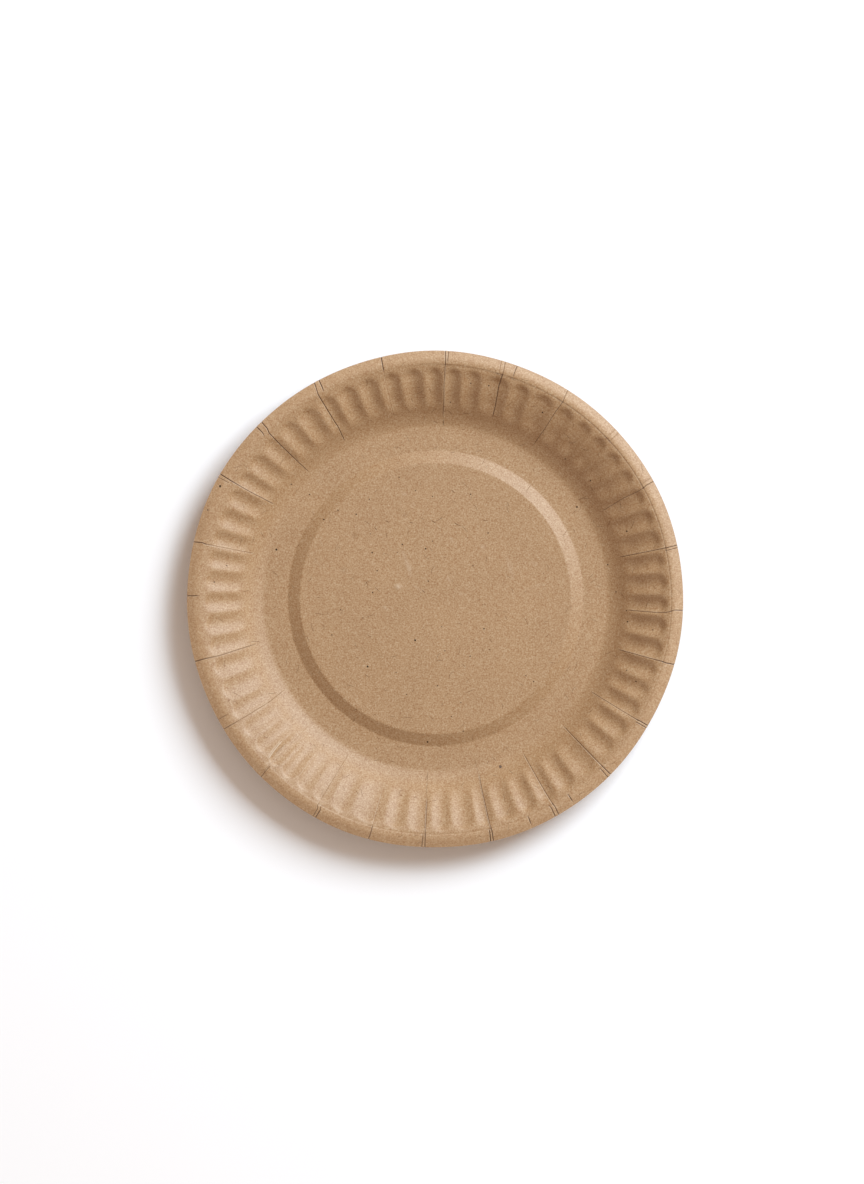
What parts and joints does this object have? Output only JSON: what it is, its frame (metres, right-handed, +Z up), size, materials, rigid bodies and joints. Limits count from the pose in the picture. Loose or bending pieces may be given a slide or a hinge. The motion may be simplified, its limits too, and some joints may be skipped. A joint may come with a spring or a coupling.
{
  "type": "paper plate",
  "caption": "Round disposable plate pressed from kraft card, with a raised flat middle, a fluted sloping wall and a narrow rim that slopes down outwards.",
  "frame": {"origin": "on the surface the plate stands on, under the centre of the plate", "axes": "+Z up out of the plate, +X to the right and +Y away in the picture, which looks straight down"},
  "size_m": [0.23, 0.23, 0.0158],
  "materials": {
    "kraft_card": "matte"
  },
  "bodies": {
    "root": {"paper_plate": "kraft_card"}
  },
  "joints": []
}
